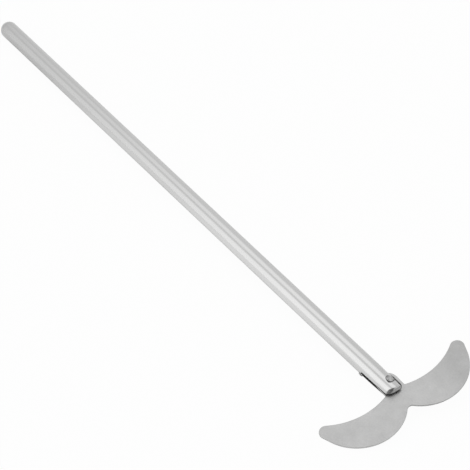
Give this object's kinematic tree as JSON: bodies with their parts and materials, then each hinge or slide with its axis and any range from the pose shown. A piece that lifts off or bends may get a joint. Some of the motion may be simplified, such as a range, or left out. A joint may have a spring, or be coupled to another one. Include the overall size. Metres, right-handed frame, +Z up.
{
  "type": "stirrer shaft",
  "caption": "Straight round steel stirrer shaft with a domed top end and a crescent sheet blade that swings on a rivet in the slotted lower end.",
  "frame": {"origin": "on the bar's axis at its top end, where the dome meets the straight bar", "axes": "+X along the bar towards the blade, +Y across it, +Z up as the part lies at rest; the bar rises 0.25 degrees towards the blade, whose rivet head and one lobe also touch the surface"},
  "size_m": [0.3699, 0.0901, 0.0132],
  "materials": {
    "shaft_steel": "finely ground, satin with lengthwise streaks",
    "blade_steel": "rolled sheet, matte",
    "rivet_steel": "formed head, satin"
  },
  "bodies": {
    "shaft": {"shaft": "shaft_steel", "pivot_rivet": "rivet_steel"},
    "blade": {"blade": "blade_steel"}
  },
  "joints": [
    {"name": "blade_pivot", "type": "hinge", "parent": "shaft", "child": "blade", "pos_m": [0.34, 0.00099, 0.00158], "axis": [-0.0043, -0.1209, 0.9927], "range_deg": [-75, 83]}
  ]
}
